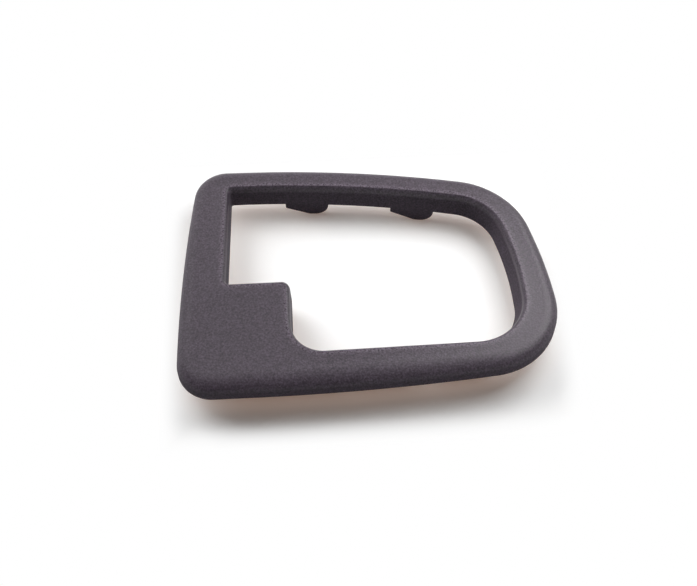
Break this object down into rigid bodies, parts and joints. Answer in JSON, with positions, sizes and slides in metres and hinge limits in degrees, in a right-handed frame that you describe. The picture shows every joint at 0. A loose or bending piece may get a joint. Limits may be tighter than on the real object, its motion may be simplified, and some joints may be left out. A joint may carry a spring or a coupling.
{
  "type": "door handle trim cover",
  "caption": "Moulded plastic trim cover that frames an inside door handle, with a stepped opening, a collar behind it and snap tabs.",
  "frame": {"origin": "middle of the outline's box, on the surface that the tips of the snap tabs stand on", "axes": "+X along the length towards the rounded end, +Y from the wide bottom edge towards the bowed top bar, +Z out of the face"},
  "size_m": [0.1406, 0.1012, 0.016],
  "materials": {
    "plastic": "fine moulded grain, satin"
  },
  "bodies": {
    "root": {"trim_cover": "plastic"}
  },
  "joints": []
}
